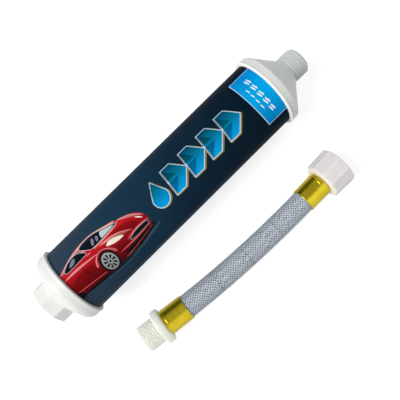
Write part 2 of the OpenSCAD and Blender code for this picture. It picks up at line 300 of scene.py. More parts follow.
def clear_jacket(name):
    """Clear soft cover: mostly see-through, with a grey-blue tint and a soft shine."""
    look = Look(name, srgb(168, 178, 190), 0.22)
    look.vary("Roughness", look.noise(300, 2), 0.18, 0.32)
    look.bump(look.noise(140, 2), 0.12, 0.0002)
    clear = look.add("ShaderNodeBsdfTransparent", {"Color": (0.95, 0.965, 0.975, 1)})
    facing = look.add("ShaderNodeLayerWeight", {"Blend": 0.35})
    share = look.map(facing.outputs["Facing"], 0.0, 1.0, 0.05, 0.4)
    mix = look.add("ShaderNodeMixShader", {0: share, 1: clear.outputs[0], 2: look.shader.outputs[0]})
    look.tree.links.new(mix.outputs[0], look.tree.nodes["Material Output"].inputs["Surface"])
    return look.mat


def granules(name, colors, scale, metallic, rough):
    look = Look(name, colors[0], rough, Metallic=metallic)
    cell = look.voronoi(scale, "Color")
    pick = look.axis(0, cell)
    base = look.ramp(pick, [(i / max(1, len(colors) - 1), c) for i, c in enumerate(colors)])
    # The near-black lines between the cells are painted shade in the gaps between granules.
    edge = look.voronoi(scale, "Distance", feature="DISTANCE_TO_EDGE")
    gap = look.map(edge, 0.0, 0.12, 1, 0)
    look.feed("Base Color", look.mix(gap, base, (0.004, 0.004, 0.004, 1)))
    look.bump(look.map(edge, 0.0, 0.35), 0.9, 0.0006)
    return look.mat


def felt(name):
    look = Look(name, srgb(238, 238, 232), 0.95, Sheen_Weight=0.5)
    fibres = look.noise(1500, 5, rough=0.7)
    look.feed("Base Color", look.mix(look.map(fibres, 0.35, 0.65), srgb(244, 244, 240), srgb(206, 207, 200)))
    look.bump(fibres, 0.6, 0.0004)
    return look.mat


def rubber(name):
    look = Look(name, srgb(34, 34, 36), 0.7)
    dust = look.noise(240, 4)
    look.feed("Base Color", look.mix(look.map(dust, 0.5, 0.8), srgb(30, 30, 32), srgb(62, 62, 64)))
    look.bump(look.noise(1800, 2), 0.2, 0.0001)
    return look.mat


def steel_wire(name):
    look = Look(name, srgb(190, 194, 198), 0.3, Metallic=1.0)
    look.vary("Roughness", look.noise(1200, 2), 0.22, 0.4)
    look.feed("Base Color", look.mix(look.noise(300, 3), srgb(200, 203, 206), srgb(160, 164, 170)))
    return look.mat


def floor_look(name):
    """Pale floor that the camera sees a little brighter than the light on it."""
    look = Look(name, (0.5, 0.5, 0.5, 1), 0.95, Specular_IOR_Level=0.0, Emission_Color=(1, 1, 1, 1))
    look.feed("Base Color", look.mix(look.noise(6, 2), (0.49, 0.49, 0.49, 1), (0.51, 0.51, 0.51, 1)))
    seen = look.add("ShaderNodeLightPath").outputs["Is Camera Ray"]
    look.feed("Emission Strength", look.map(seen, 0.0, 1.0, 0.3, 0.72))
    return look.mat


M = {
    # Inlet cap in its own white; the grey zone on the last 0.9 mm of the lip beside the label is painted shade.
    "white_cap": moulded("white_cap", srgb(239, 239, 236), srgb(232, 233, 230), painted_light_zones=[
        (LABEL_X0 - 1.5, LABEL_X0 - 0.9, srgb(205, 208, 203))]),
    # Outlet cap: the same white plastic as the inlet cap, painted darker as shade. Its zones paint a highlight on
    # the lip edge beside the label, a lighter cone and a darker nipple, all painted light and shade.
    "grey_cap": moulded("grey_cap", srgb(220, 222, 216), srgb(213, 215, 210), painted_light_zones=[
        (LABEL_X1 + 1.4, LABEL_X1 + 0.8, srgb(253, 253, 250)),
        (LABEL_X1 + 6, LABEL_X1 + 8, srgb(223, 227, 226)),
        (NIPPLE_X - 1, NIPPLE_X + 0.5, srgb(203, 208, 208))]),
    "tube": moulded("tube", srgb(238, 238, 233), srgb(230, 230, 226), 0.3),
    "plate": moulded("plate", srgb(228, 228, 222), srgb(216, 217, 211), 0.5),
    # The male fitting's faint emission lifts its shaded thread grooves: painted light.
    "male_nylon": moulded("male_nylon", srgb(224, 225, 217), srgb(217, 219, 207), 0.5, Subsurface_Weight=1.0,
                          Subsurface_Scale=0.012, Subsurface_Radius=(1.0, 1.0, 0.95), Specular_IOR_Level=0.2,
                          Emission_Color=srgb(240, 240, 230), Emission_Strength=0.11),
    "nut_nylon": moulded("nut_nylon", srgb(232, 230, 228), srgb(224, 222, 219), 0.36),
    "gold": brushed_gold("gold"),
    "label": label_film("label_film"),
    "yarn": yarn("yarn", srgb(238, 238, 240), srgb(219, 222, 228)),
    # A darker copy of the same yarn for segments that pass under the crossing strands: painted shade.
    "yarn_under_shaded": yarn("yarn_under_shaded", srgb(166, 170, 180), srgb(148, 153, 164)),
    "core": hose_core("hose_core"),
    "jacket": clear_jacket("clear_jacket"),
    "felt": felt("felt"),
    "rubber": rubber("rubber"),
    "steel": steel_wire("steel_wire"),
    "copper": granules("copper_zinc_granules", [
        srgb(196, 120, 60), srgb(214, 160, 84), srgb(170, 150, 120), srgb(206, 176, 104)], 620, 0.8, 0.4),
    "carbon": granules("carbon_granules", [
        srgb(22, 22, 23), srgb(36, 36, 38), srgb(14, 14, 15), srgb(50, 50, 53)], 520, 0.0, 0.6),
}


# ---------------------------------------------------------------- mesh helpers
def add_mesh(name, verts, faces, materials, slots=None, sharp=32):
    """Closed mesh from points in metres, with outward normals and sharp edges by angle."""
    mesh = bpy.data.meshes.new(name)
    mesh.from_pydata(verts, [], faces)
    for mat in materials:
        mesh.materials.append(mat)
    if slots:
        mesh.polygons.foreach_set("material_index", slots)
    bm = bmesh.new()
    bm.from_mesh(mesh)
    bmesh.ops.recalc_face_normals(bm, faces=bm.faces)
    bm.to_mesh(mesh)
    bm.free()
    mesh.polygons.foreach_set("use_smooth", [True] * len(mesh.polygons))
    mesh.set_sharp_from_angle(angle=math.radians(sharp))
    obj = bpy.data.objects.new(name, mesh)
    bpy.context.scene.collection.objects.link(obj)
    return obj


def torus_grid(rings, columns):
    """Quads of a grid that closes on itself both ways."""
    return [(i * columns + j, i * columns + (j + 1) % columns,
             ((i + 1) % rings) * columns + (j + 1) % columns, ((i + 1) % rings) * columns + j)
            for i in range(rings) for j in range(columns)]


def placed(origin, direction):
    """Local X runs along direction, and local Z stays up. Millimetres in, metres out."""
    x = Vector(direction).normalized()
    y = Vector((0, 0, 1)).cross(x).normalized()
    turn = Matrix((x, y, x.cross(y))).transposed().to_4x4()
    return Matrix.Translation(origin) @ turn @ Matrix.Scale(MM, 4)


FILTER_PLACE = Matrix.Scale(MM, 4)


def turned(name, profile, materials, place=FILTER_PLACE, angles=None, sharp=32):
    """Turns a closed profile about local X. A radius is a number or a function of (x, angle)."""
    angles = angles or [TAU * j / SEGMENTS for j in range(SEGMENTS)]
    verts = []
    for x, radius in profile:
        for a in angles:
            r = radius(x, a) if callable(radius) else radius
            verts.append(place @ Vector((x, r * math.cos(a), r * math.sin(a))))
    return add_mesh(name, verts, torus_grid(len(profile), len(angles)), materials, sharp=sharp)


def smooth(t):
    t = min(1.0, max(0.0, t))
    return t * t * (3 - 2 * t)


def smooth_max(a, b, k):
    h = max(k - abs(a - b), 0.0) / k
    return max(a, b) + h * h * k / 4


def thread(x0, x1, root, crest, runin=1.2, runout=1.6, samples=12):
    """Profile points along a right-hand helical thread from x0 to x1."""
    lo, hi = min(x0, x1), max(x0, x1)

    def radius(x, angle):
        ridge = 1 - abs(2 * ((x / PITCH - angle / TAU) % 1) - 1)
        form = smooth((ridge - CREST_SHARE) / (1 - 2 * CREST_SHARE))
        fade = min(smooth((x - lo) / runin), smooth((hi - x) / runout))
        return root + (crest - root) * form * fade

    count = max(2, round((hi - lo) / PITCH * samples))
    return [(x0 + (x1 - x0) * i / count, radius) for i in range(count + 1)]


def arc(x, r, size, a0, a1, steps=8):
    """Profile points of an arc about (x, r). Angle 0 points along +X and 90 away from the axis."""
    return [(x + size * math.cos(math.radians(a)), r + size * math.sin(math.radians(a)))
            for a in (a0 + (a1 - a0) * i / steps for i in range(steps + 1))]


def polygon_radius(angle, sides, flat_r, corner_at, corner_round):
    """Distance from the centre to a rounded polygon's edge."""
    half = math.pi / sides
    off = (angle - corner_at) % (2 * half)
    off = min(off, 2 * half - off)
    centre = (flat_r - corner_round) / math.cos(half)
    tangent = half - math.atan((flat_r - corner_round) * math.tan(half) / flat_r)
    if off >= tangent:
        return flat_r / math.cos(half - off)
    reach = corner_round ** 2 - (centre * math.sin(off)) ** 2
    return centre * math.cos(off) + math.sqrt(max(0.0, reach))


def polygon_angles(sides, corner_at, corner_share=0.09, per_corner=6, per_side=10):
    """Angles that crowd round the corners of a polygon."""
    step = TAU / sides
    out = []
    for k in range(sides):
        start = corner_at + k * step - corner_share * step
        out += [start + 2 * corner_share * step * i / per_corner for i in range(per_corner)]
        start += 2 * corner_share * step
        out += [start + (1 - 2 * corner_share) * step * i / per_side for i in range(per_side)]
    return out


def finish_piece(obj, body, slot, *nodes):
    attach(obj, body)
    if nodes:
        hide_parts(*nodes)


# ---------------------------------------------------------------- filter
def boss(offset):
    """Radius of the eight-sided boss where it meets the cone behind it."""
    def radius(x, angle):
        side = polygon_radius(angle, BOSS_SIDES, BOSS_FLAT_R - offset, BOSS_CORNER, BOSS_ROUND)
        cone = BOSS_FLAT_R + (x - SLOPE_X) * math.tan(SLOPE)
        return smooth_max(side, cone, FOOT_BLEND)
    return radius


def lip(x_end, direction):
    """Raised lip at a cap's rim, from the band to the edge that meets the label."""
    band = x_end + direction * LIP_W
    return [(band + direction * 0.3, BAND_R), (band + direction * 0.05, BAND_R + 0.05),
            (band - direction * 0.1, RIM_R - 0.12), (band - direction * 0.3, RIM_R),
            (x_end + direction * 0.95, RIM_R), (x_end + direction * 0.6, RIM_R - 0.12),
            (x_end + direction * 0.12, RIM_R - 0.62), (x_end, RIM_R - 0.95)]


def build_inlet_cap():
    edge = BOSS_EDGE
    front = [(edge - edge * math.cos(a), boss(edge * (1 - math.sin(a))))
             for a in (math.pi / 2 * i / 6 for i in range(7))]
    side = [(x, boss(0)) for x in (2.5, 5.0, 7.5, 10.0)]
    foot = [(SLOPE_X - 2.0 + 0.3 * i, boss(0)) for i in range(18)]
    band_x = SLOPE_X + (BAND_R - BOSS_FLAT_R) / math.tan(SLOPE) + SHOULDER_ROUND * math.tan(SLOPE / 2)
    shoulder = arc(band_x, BAND_R - SHOULDER_ROUND, SHOULDER_ROUND, 90 + math.degrees(SLOPE), 90, 10)
    profile = front + side + foot + shoulder
    profile += lip(LABEL_X0, -1)
    profile += [(LABEL_X0, SKIRT_R), (TUBE_X0, SKIRT_R), (TUBE_X0, CAVITY_R)]
    profile += [(19.8, 26.5), (16.4, INLET_BORE_R), (WASHER_SEAT_X, INLET_BORE_R)]
    profile += [(WASHER_SEAT_X, FEMALE_ROOT), (10.6, FEMALE_ROOT)]
    profile += thread(10.2, 0.9, FEMALE_ROOT, FEMALE_CREST)
    profile += [(0.6, FEMALE_ROOT + 0.05), (0.0, FEMALE_ROOT + 0.7)]
    angles = polygon_angles(BOSS_SIDES, BOSS_CORNER)
    cap = turned("inlet_cap_body", profile, [M["white_cap"]], angles=angles)
    finish_piece(cap, "filter", "white_cap", "inlet_cap")


def build_outlet_cap():
    cone_x = NIPPLE_X - (BAND_R - MALE_CREST) / math.tan(math.radians(CONE_SLOPE))
    round_x = cone_x - CONE_ROUND * math.tan(math.radians(CONE_SLOPE / 2))
    profile = list(reversed(lip(LABEL_X1, 1)))
    profile += arc(round_x, BAND_R - CONE_ROUND, CONE_ROUND, 90, 90 - CONE_SLOPE, 8)
    profile += [(NIPPLE_X - 0.5, MALE_CREST + 0.56), (NIPPLE_X, MALE_CREST + 0.12)]
    profile += [(NIPPLE_X + 0.5, MALE_CREST)]
    profile += [(NIPPLE_X + 1.0, MALE_CREST), (NIPPLE_X + 1.5, MALE_ROOT + 0.3), (NIPPLE_X + 1.8, MALE_ROOT)]
    profile += thread(NIPPLE_X + 1.9, TIP_X - 1.0, MALE_ROOT, MALE_CREST, runin=1.0, runout=1.2)
    profile += [(TIP_X - 0.5, MALE_ROOT - 0.15), (TIP_X - 0.1, MALE_ROOT - 0.7), (TIP_X, MALE_ROOT - 1.2)]
    profile += [(TIP_X, OUTLET_BORE_R + 1.1), (TIP_X - 0.3, OUTLET_BORE_R + 0.5)]
    profile += [(TIP_X - 1.0, OUTLET_BORE_R), (NIPPLE_X - 2.2, OUTLET_BORE_R)]
    profile += [(TUBE_X1 + 4.6, 27.5), (TUBE_X1, CAVITY_R), (TUBE_X1, SKIRT_R), (LABEL_X1, SKIRT_R)]
    cap = turned("outlet_cap_body", profile, [M["grey_cap"]])
    finish_piece(cap, "filter", "grey_cap", "outlet_cap")


def build_label():
    """Film sleeve whose edge laps over itself along the underside."""
    lap_half, seam = LAP_HALF / LABEL_R, 1.5 * math.pi

    def outer(_, angle):
        off = (angle - seam + math.pi) % TAU - math.pi
        lap = smooth((lap_half - abs(off)) / 0.012)
        return LABEL_R + LAP_THICKNESS * lap
    angles = [TAU * j / SEGMENTS for j in range(SEGMENTS)]
    angles += [seam + side * (lap_half - d) for side in (-1, 1) for d in (-0.001, 0.004, 0.008, 0.013)]
    angles = sorted(set(round(a, 6) for a in angles))
    steps = 24
    profile = [(LABEL_X0 + 0.02 + (LABEL_X1 - LABEL_X0 - 0.04) * i / steps, outer) for i in range(steps + 1)]
    profile += [(LABEL_X1 - 0.02, TUBE_R + 0.01), (LABEL_X0 + 0.02, TUBE_R + 0.01)]
    film = turned("label_film", profile, [M["label"]], angles=angles, sharp=20)
    finish_piece(film, "filter", "label", "label_wrap")


# ---------------------------------------------------------------- label artwork
def grown(points, by):
    """Polygon with every edge moved outward by a distance. Points run anticlockwise."""
    out = []
    count = len(points)
    for i in range(count):
        a, b, c = (Vector(points[(i + k) % count]) for k in (-1, 0, 1))
        n1 = Vector(((b - a).y, -(b - a).x)).normalized()
        n2 = Vector(((c - b).y, -(c - b).x)).normalized()
        both = n1 + n2
        scale = by / max(0.35, 0.5 * both.length_squared)
        out.append(tuple(b + both * scale))
    return out


def anticlockwise(points):
    area = sum(a[0] * b[1] - b[0] * a[1] for a, b in zip(points, points[1:] + points[:1]))
    return points if area > 0 else points[::-1]


def curve(points, per=6):
    """Smooth closed outline through control points."""
    out = []
    count = len(points)
    for i in range(count):
        p0, p1, p2, p3 = (Vector(points[(i + k) % count]) for k in (-1, 0, 1, 2))
        for j in range(per):
            t = j / per
            out.append(tuple(0.5 * (2 * p1 + (p2 - p0) * t + (2 * p0 - 5 * p1 + 4 * p2 - p3) * t * t
                                    + (3 * p1 - p0 - 3 * p2 + p3) * t ** 3)))
    return out


def ellipse(cu, cv, ru, rv, count=40):
    return [(cu + ru * math.cos(a), cv + rv * math.sin(a)) for a in (TAU * i / count for i in range(count))]


def wrap_point(u, v, height):
    """Label point u along X and v round the tube from the middle of its top, at a height above the film."""
    angle = v / LABEL_R
    r = LABEL_R + height
    return Vector((u, r * math.sin(angle), r * math.cos(angle))) * MM


def flat_piece(outline, step=2.0):
    """Triangulated outline, cut across the tube so that it can be bent round it."""
    bm = bmesh.new()
    bm.faces.new([bm.verts.new((u, v, 0)) for u, v in anticlockwise(list(outline))])
    bmesh.ops.triangulate(bm, faces=bm.faces[:], ngon_method="EAR_CLIP")
    lo = min(v.co.y for v in bm.verts)
    hi = max(v.co.y for v in bm.verts)
    cut = math.floor(lo / step) * step + step
    while cut < hi:
        geom = bm.verts[:] + bm.edges[:] + bm.faces[:]
        bmesh.ops.bisect_plane(bm, geom=geom, dist=1e-5, plane_co=(0, cut, 0), plane_no=(0, 1, 0))
        cut += step
    bmesh.ops.dissolve_degenerate(bm, dist=1e-4, edges=bm.edges[:])
    bm.normal_update()
    for face in bm.faces:
        if face.normal.z < 0:
            face.normal_flip()
    return bm


def decals(name, layers):
    """One closed piece of ink films. Each layer is (material, height, [outlines])."""
    verts, faces, slots, mats = [], [], [], []
    for mat, height, outlines in layers:
        if mat not in mats:
            mats.append(mat)
        slot = mats.index(mat)
        for outline in outlines:
            bm = flat_piece(outline)
            bm.verts.index_update()
            base, count = len(verts), len(bm.verts)
            verts += [wrap_point(v.co.x, v.co.y, height) for v in bm.verts]
            verts += [wrap_point(v.co.x, v.co.y, -0.06) for v in bm.verts]
            for face in bm.faces:
                ring = [base + v.index for v in face.verts]
                faces += [ring, [i + count for i in reversed(ring)]]
                slots += [slot, slot]
            for edge in bm.edges:
                if len(edge.link_loops) == 1:
                    loop = edge.link_loops[0]
                    a, b = base + loop.vert.index, base + loop.link_loop_next.vert.index
                    faces.append([b, a, a + count, b + count])
                    slots.append(slot)
            bm.free()
    obj = add_mesh(name, verts, faces, mats, slots, sharp=40)
    finish_piece(obj, "filter", "label")


SILVER = printed("ink_silver", [(0.0, srgb(222, 230, 236)), (1.0, srgb(176, 196, 208))])
AZURE = printed("ink_azure", [
    (0.0, srgb(0, 168, 236)), (0.35, srgb(0, 140, 200)), (0.65, srgb(0, 112, 140)), (1.0, srgb(0, 66, 100))])
GOLD_INK = printed("ink_gold", [(0.0, srgb(150, 130, 60)), (1.0, srgb(96, 80, 40))])
SHADE = printed("ink_shade", [(0.0, srgb(6, 10, 16)), (1.0, srgb(10, 16, 26))])
PANEL = panel_ink("ink_panel")
PALE = printed("ink_pale", [(0.0, srgb(190, 222, 250)), (1.0, srgb(170, 212, 248))], speck=0.02)
WHITE = printed("ink_white", [(0.0, srgb(236, 246, 252)), (1.0, srgb(214, 236, 250))], speck=0.02)


def chevron(u, v0, v1, stroke, reach, slant):
    """Bold flow mark that points along +X, leaning with the slant."""
    mid = (v0 + v1) / 2

    def lean(v):
        return u + (v - v0) * slant
    return [(lean(v0), v0), (lean(v0) + stroke, v0), (lean(mid) + stroke + reach, mid),
            (lean(v1) + stroke, v1), (lean(v1), v1), (lean(mid) + reach, mid)]


def drop(cu, cv, size, slant):
    """Water drop with its point up."""
    pts = []
    for i in range(40):
        a = TAU * i / 40 - math.pi / 2
        stretch = 1.0 if math.sin(a) < 0 else 1.0 + 0.85 * math.sin(a) ** 3
        width = 0.92 if math.sin(a) < 0 else 0.92 * (1 - 0.80 * math.sin(a) ** 2.2)
        v = cv + size * math.sin(a) * stretch
        pts.append((cu + size * math.cos(a) * width + (v - cv) * slant, v))
    return pts


DROP_U, DROP_V, DROP_SIZE = 138.5, -3.4, 8.4
MARK_U, MARK_STEP, MARK_LOW, MARK_HIGH = 151.0, 21.4, -11.6, 12.6
MARK_STROKE, MARK_REACH, MARK_SLANT = 9.4, 10.5, 0.1
MARK_RIM, MARK_SHADOW = 0.75, 0.9


def build_flow_marks():
    """Water drop and flow chevrons along the middle of the label, rimmed, with a gold drop shadow."""
    outlines = [drop(DROP_U, DROP_V, DROP_SIZE, MARK_SLANT)]
    outlines += [chevron(MARK_U + MARK_STEP * k, MARK_LOW, MARK_HIGH, MARK_STROKE, MARK_REACH, MARK_SLANT)
                 for k in range(4)]
    shift = [[(u + MARK_SHADOW, v - MARK_SHADOW) for u, v in grown(anticlockwise(o), MARK_SHADOW)]
             for o in outlines]
    rim = [grown(anticlockwise(o), MARK_RIM) for o in outlines]
    decals("label_flow_marks", [
        (GOLD_INK, 0.03, shift), (SILVER, 0.05, rim), (AZURE, 0.08, outlines)])


def wave(u, v, half_len, swing, width):
    """Short wavy stroke of even width that runs round the tube and tapers at its ends."""
    steps = 12
    pitch = TAU / (2 * half_len)

    def at(i, side):
        t = i / steps
        lean = swing * pitch * math.cos(TAU * t)
        half = side * width / 2 * max(0.15, min(1.0, 8 * t, 8 - 8 * t)) / math.hypot(1, lean)
        return (u + swing * math.sin(TAU * t) + half, v + half_len * (2 * t - 1) - half * lean)
    return [at(i, 1) for i in range(steps + 1)] + [at(i, -1) for i in range(steps, -1, -1)]


def stripe(points, width, per=5):
    """Thin curved stroke through points, tapered at both ends."""
    line = curve(points, per)[:(len(points) - 1) * per + 1]
    last = len(line) - 1
    halves = [width / 2 * max(0.12, min(1.0, 5 * i / last, 5 - 5 * i / last)) for i in range(last + 1)]
    low = [(u, v - h) for (u, v), h in zip(line, halves)]
    high = [(u, v + h) for (u, v), h in zip(line, halves)]
    return low + high[::-1]


def build_panel():
    """Azure panel beside the outlet cap, with a pale outline and a water emblem."""
    u0, u1, half = 248.6, LABEL_X1 - 0.1, 26.6
    bow, skew = 1.0, 1.0
    edge = [(u0 - bow * (1 - (v / half) ** 2) + skew * (1 - v / half), v)
            for v in (half * (i / 10 - 1) for i in range(21))]
    field = edge + [(u1, half), (u1, -half)]
    frame_line = [(u - 0.7, v * (half + 0.6) / half) for u, v in edge] + [(u1, half + 0.6), (u1, -half - 0.6)]
    ripples = [wave(u, 7.8 * k, 3.1, 0.75, 0.62) for k in range(-2, 3) for u in (262.0, 259.6)]
    ripples += [wave(254.6, v, 2.4, 0.5, 0.5) for v in (-9.0, -3.0, 3.0, 9.0)]
    decals("label_panel", [(PALE, 0.03, [frame_line]), (PANEL, 0.05, [field]), (WHITE, 0.08, ripples)])


CAR_SCALE, CAR_DROP = 0.94, -3.1
WHEEL_U, WHEEL_V = LABEL_X0 + CAR_SCALE * 41.4, CAR_DROP - 8.6
RIM_U, RIM_V, SPOKES = 6.4, 8.4, 9
RED_STOPS = [(0.0, srgb(80, 6, 12)), (0.3, srgb(134, 14, 22)),
             (0.6, srgb(186, 20, 34)), (1.0, srgb(206, 44, 52))]
CAR_RED = printed("ink_car_red", RED_STOPS, span=(-0.017, 0.017), rough=0.26, speck=0.03)
CAR_LIGHT = printed("ink_car_light", [(0.0, srgb(214, 86, 88)), (1.0, srgb(238, 164, 160))], speck=0.02)
SEAT = printed("ink_seat", [(0.0, srgb(92, 100, 118)), (1.0, srgb(120, 128, 144))], speck=0.02)
CAR_DEEP = printed("ink_car_deep", [(0.0, srgb(96, 6, 12)), (1.0, srgb(140, 12, 20))], span=(-0.014, 0.004))
GLASS = printed("ink_glass", [(0.0, srgb(8, 10, 18)), (0.6, srgb(16, 20, 32)), (1.0, srgb(70, 82, 96))],
                span=(0.004, 0.02))
GLINT = printed("ink_glint", [(0.0, srgb(150, 166, 172)), (1.0, srgb(190, 206, 206))], speck=0.02)
TYRE = printed("ink_tyre", [(0.0, srgb(14, 14, 18)), (1.0, srgb(26, 26, 32))])
RIM = printed("ink_rim", [(0.0, srgb(150, 152, 154)), (1.0, srgb(196, 200, 200))], speck=0.02)
LAMP = printed("ink_lamp", [(0.0, srgb(236, 222, 204)), (1.0, srgb(250, 244, 232))], speck=0.02)
GROUND = printed("ink_ground", [(0.0, srgb(34, 58, 74)), (1.0, srgb(60, 84, 96))], axis=0, span=(0.034, 0.12))


def car_outlines():
    """Generic red car, seen from the front quarter. Its own u runs forward and its v up, in mm."""
    body = curve([(-0.5, 9.0), (6, 13.6), (14, 16.8), (25, 19.6), (36, 20.8), (46, 20.2), (56, 17.2),
                  (66, 13.4), (77, 10.8), (86, 6.8), (91.4, 1.6), (92.8, -4.6), (91.0, -11.0), (84, -13.8),
                  (72, -15.6), (61, -17.6), (54.5, -17.2), (47, -15.8), (34, -15.2), (20, -14.0),
                  (8, -12.8), (-0.5, -12.0)])
    return {
        "body": [(max(0.2, u), v) for u, v in body],
        "shadow": curve([(1, -14.6), (20, -16.4), (36, -18.4), (46, -20.2), (60, -20.0), (80, -16.6),
                         (92, -12.8), (94, -10.4), (80, -12), (60, -14), (30, -12), (6, -11)]),
        "ground": stripe([(5, -17.6), (28, -20.0), (54, -21.6), (78, -18.6), (95, -14.0)], 1.3),
        "side_glass": curve([(5.6, 10.8), (9.5, 13.8), (16, 16.0), (24.5, 15.8), (31.0, 10.6), (24, 9.6),
                             (15, 9.4), (8.5, 9.4)]),
        "screen": curve([(28.6, 17.2), (35, 19.6), (45, 19.2), (55, 16.2), (65, 12.6), (69, 11.0), (60, 10.4),
                         (50, 9.8), (40, 9.6), (35.2, 11.0)]),
        "sky": curve([(50.6, 10.8), (52.4, 15.8), (58, 14.4), (65.6, 11.6), (58, 10.9)]),
        "seats": [curve([(39.5, 11.6), (41.8, 11.4), (44.2, 15.4), (42.2, 16.4)]),
                  curve([(45.2, 11.6), (47.2, 11.4), (48.8, 14.6), (46.8, 15.6)]),
                  curve([(12, 11.0), (17, 11.2), (20.5, 14.2), (18.0, 15.0), (13.5, 13.2)])],
        "side_dark": curve([(2, -7.6), (4, -1.0), (14, 1.6), (24, 1.2), (31, -2.2), (32, -12.6), (20, -11.0),
                            (8, -9.6)]),
        "nose_dark": curve([(50, -4.4), (58, -4.2), (65, -8.2), (62, -11.2), (55, -13.6), (51.4, -9.4)]),
        "hood_dark": curve([(58, 7.4), (70, 7.0), (80, 3.6), (84, -1.4), (76, -2.4), (67, 2.4)]),
        "rear_dark": [(0.2, -8.4), (2.6, -9.6), (5.4, -12.6), (6.2, -15.4), (3.4, -16.2), (0.2, -16.0)],
        "lamp": curve([(48.6, 2.8), (53, 4.6), (60, 3.0), (66.0, -0.6), (59, -0.8), (53, 0.6)]),
        "far_lamp": curve([(84.0, 3.8), (87.4, 1.8), (89.4, -1.2), (87.6, 0.0), (85.4, 2.0)]),
        "slot": curve([(68, -7.6), (74, -5.4), (83, -4.8), (90, -5.8), (89, -8.0), (82, -8.6), (74, -8.8)]),
        "intake": curve([(56, -13.4), (63, -12.2), (75, -11.2), (88, -10.6), (87, -12.2), (76, -13.6),
                         (62, -15.8)]),
        "mirror": curve([(34.0, 8.0), (36.4, 9.6), (39.4, 8.8), (38.4, 7.2), (35.6, 6.8)]),
        "door": stripe([(19.4, 8.8), (19.8, 2.0), (21.2, -4.0), (21.0, -10.4)], 0.1),
    }


def car_lines():
    """Light lines where the bodywork catches the light, each (points, width)."""
    return [
        ([(0.6, 5.2), (12, 6.4), (26, 5.2), (38, 3.0)], 0.9),
        ([(2.4, -9.2), (12, -10.4), (22, -11.8), (32.6, -13.4)], 0.7),
        ([(3.0, 10.4), (12, 15.8), (24, 19.0), (36, 20.3), (46, 19.8), (56, 16.9), (66, 13.0)], 0.6),
        ([(30, 8.6), (42, 8.6), (54, 8.9), (68, 10.0)], 0.8),
        ([(70, 12.0), (79, 9.6), (86, 5.6), (90.6, 0.4)], 0.9),
        ([(44, 6.4), (56, 6.2), (66, 3.2), (74, -2.2)], 0.7),
        ([(66.5, -6.2), (74, -4.0), (84, -3.6), (91.4, -4.8)], 0.6),
        ([(54, -9.8), (62, -9.6), (70, -10.4), (80, -9.6), (90, -9.2)], 0.7),
        ([(55, -16.2), (66, -15.6), (78, -13.6), (90, -11.6)], 0.6),
        ([(30.4, -6.0), (33.4, 0.6), (41, 3.4), (49, 0.0), (52, -7.0)], 0.9),
    ]


def build_car():
    def moved(points):
        return [(LABEL_X0 + CAR_SCALE * u, v + CAR_DROP) for u, v in points]
    car = {key: moved(pts) for key, pts in car_outlines().items() if key != "seats"}
    seats = [moved(points) for points in car_outlines()["seats"]]
    lines = [moved(stripe(points, width)) for points, width in car_lines()]
    gap = [(0.28, -0.16), (0.82, -0.2), (0.82, 0.2), (0.28, 0.16)]
    gaps = [[(WHEEL_U + RIM_U * r * math.cos(a + b), WHEEL_V + RIM_V * r * math.sin(a + b)) for r, b in gap]
            for a in (TAU * k / SPOKES for k in range(SPOKES))]
    decals("label_car", [
        (GROUND, 0.02, [car["ground"]]), (SHADE, 0.03, [car["shadow"]]),
        (CAR_RED, 0.05, [car["body"]]),
        (CAR_DEEP, 0.065, [car["side_dark"], car["nose_dark"], car["hood_dark"]]),
        (SHADE, 0.08, [car["door"]]),
        (CAR_LIGHT, 0.095, lines),
        (GLINT, 0.11, [grown(anticlockwise(car[k]), 0.35) for k in ("side_glass", "screen", "slot")]),
        (GLASS, 0.125, [car["side_glass"], car["screen"]]),
        (GLINT, 0.14, [car["sky"]]), (SEAT, 0.14, seats),
        (TYRE, 0.125, [car["slot"], car["intake"], car["rear_dark"]]),
        (LAMP, 0.125, [car["lamp"], car["far_lamp"]]),
        (CAR_RED, 0.14, [car["mirror"]]),
        (CAR_DEEP, 0.11, [ellipse(WHEEL_U - 0.4, WHEEL_V + 0.8, 9.0, 11.0)]),
        (TYRE, 0.125, [ellipse(WHEEL_U, WHEEL_V, RIM_U + 1.8, RIM_V + 2.0)]),
        (RIM, 0.14, [ellipse(WHEEL_U, WHEEL_V, RIM_U, RIM_V)]),
        (TYRE, 0.155, gaps + [ellipse(WHEEL_U, WHEEL_V, 0.9, 1.1, 16)]),
    ])


# ---------------------------------------------------------------- hose
JOINTS = {j["name"]: j for j in frame["joints"]}
MOUNTS = {m["name"]: m for m in frame["record"]["mounts"]}
HINGES = [Vector(JOINTS[f"bend_{i}"]["pos_m"]) for i in range(1, 5)]
HEADINGS = [-Vector(MOUNTS["hose_male_thread"]["axis"])]
HEADINGS += [(b - a).normalized() for a, b in zip(HINGES, HINGES[1:])]
HEADINGS += [Vector(JOINTS["nut_spin"]["axis"])]
LINK = (HINGES[1] - HINGES[0]).length / MM
MALE_FACE = HINGES[0] - HEADINGS[0] * (LINK / 2 + FERRULE_LEN) * MM
NUT_FACE = HINGES[3] + HEADINGS[4] * (LINK / 2 + FERRULE_LEN) * MM
MALE_PLACE = placed(MALE_FACE, -HEADINGS[0])
NUT_PLACE = placed(NUT_FACE, HEADINGS[4])
M["nut"] = ridged_nylon("ridged_nylon", NUT_FACE, HEADINGS[4])


